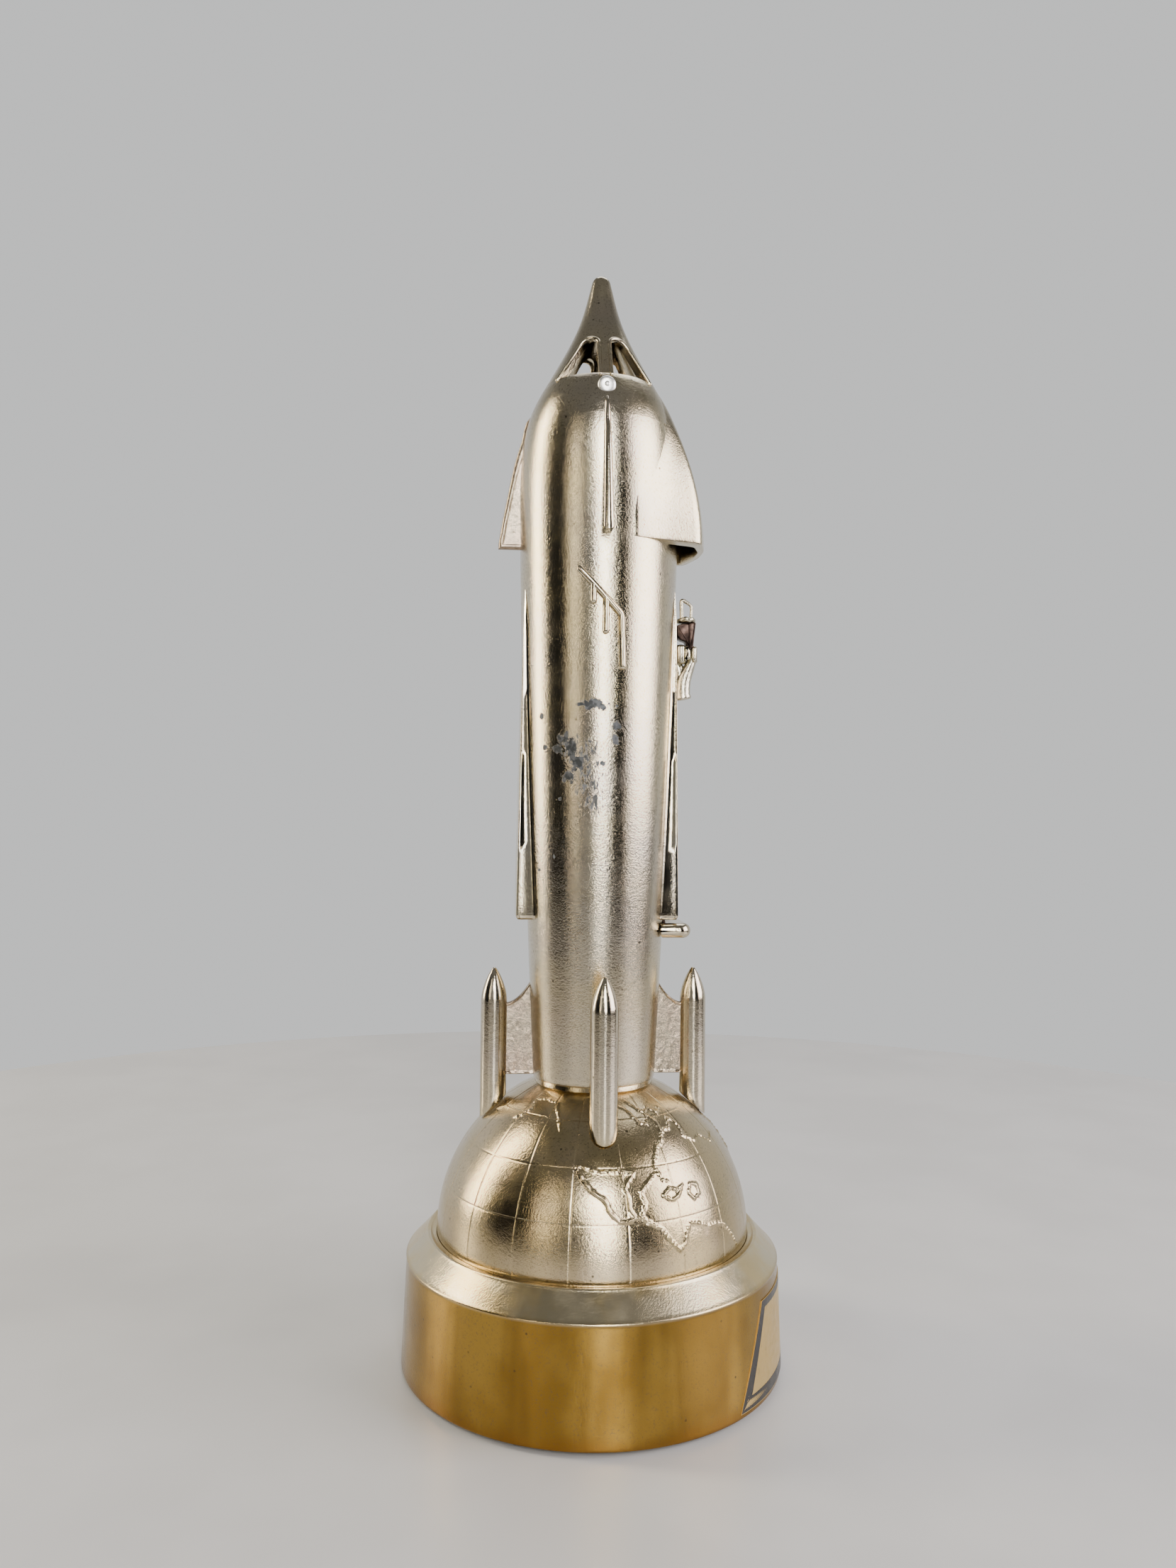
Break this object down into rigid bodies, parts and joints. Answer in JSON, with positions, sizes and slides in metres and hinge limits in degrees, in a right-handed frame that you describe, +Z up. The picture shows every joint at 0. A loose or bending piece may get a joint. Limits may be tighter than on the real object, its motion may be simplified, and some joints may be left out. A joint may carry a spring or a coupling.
{
  "type": "mechanical coin bank",
  "caption": "Mechanical coin bank: a finned rocket with a windowed nose stands on a half globe and a round drum; a sprung launcher on its side flicks a coin up into an open hood.",
  "frame": {"origin": "middle of the underside of the foot ring, on the surface that the bank stands on", "axes": "+Z up along the rocket, -Y to the front with the comb relief and the rivet, +X to the coin hood and the launcher"},
  "size_m": [0.0942, 0.094, 0.2739],
  "materials": {
    "gold_plate": "polished gold plate over fine sand-cast grain",
    "champagne_plate": "semi-bright champagne plate with fine cast grain",
    "bright_plate": "mirror bright",
    "dark_steel": "dark oiled steel",
    "zinc_steel": "dull zinc plate",
    "lock_brass": "satin brass",
    "label_foil": "satin printed foil",
    "foot_rubber": "dull"
  },
  "bodies": {
    "bank": {"base_drum": "gold_plate", "foot_ring": "foot_rubber", "base_plate": "zinc_steel", "base_screws": "zinc_steel", "label_plate": "label_foil", "globe_dome": "champagne_plate", "globe_screws": "zinc_steel", "body_lock_ring": "zinc_steel", "body_front_shell": "champagne_plate", "body_back_shell": "champagne_plate", "comb_trim": "champagne_plate", "nose_cone": "champagne_plate", "top_rivet": "bright_plate", "coin_hood": "champagne_plate", "left_strake": "champagne_plate", "launch_rail": "champagne_plate", "spring_seat": "dark_steel", "back_tail_fin": "champagne_plate", "left_tail_fin": "champagne_plate", "front_tail_fin": "champagne_plate", "right_booster_fin": "champagne_plate", "back_booster_fin": "champagne_plate", "left_booster_fin": "champagne_plate", "front_booster_fin": "champagne_plate"},
    "launcher": {"firing_rod": "dark_steel", "thumb_lever": "champagne_plate", "main_spring": "dark_steel", "launcher_bracket": "dark_steel", "launcher_fork": "champagne_plate", "launcher_sleeve": "champagne_plate", "launcher_arm": "champagne_plate"},
    "trap": {"trap_plate": "zinc_steel", "lock_barrel": "lock_brass"},
    "lock": {"lock_plug": "lock_brass", "lock_cam": "dark_steel"}
  },
  "joints": [
    {"name": "launcher_slide", "type": "slide", "parent": "bank", "child": "launcher", "axis": [0, 0, 1], "range_m": [-0.0085, 0], "stiffness_N_per_m": 300, "springref_m": 0.006, "deforming": ["main_spring"]},
    {"name": "trap_drop", "type": "slide", "parent": "bank", "child": "trap", "axis": [0, 0, 1], "range_m": [-0.016, 0]},
    {"name": "lock_turn", "type": "hinge", "parent": "trap", "child": "lock", "pos_m": [0, 0.004, 0.005], "axis": [0, 0, 1], "range_deg": [0, 90]}
  ]
}
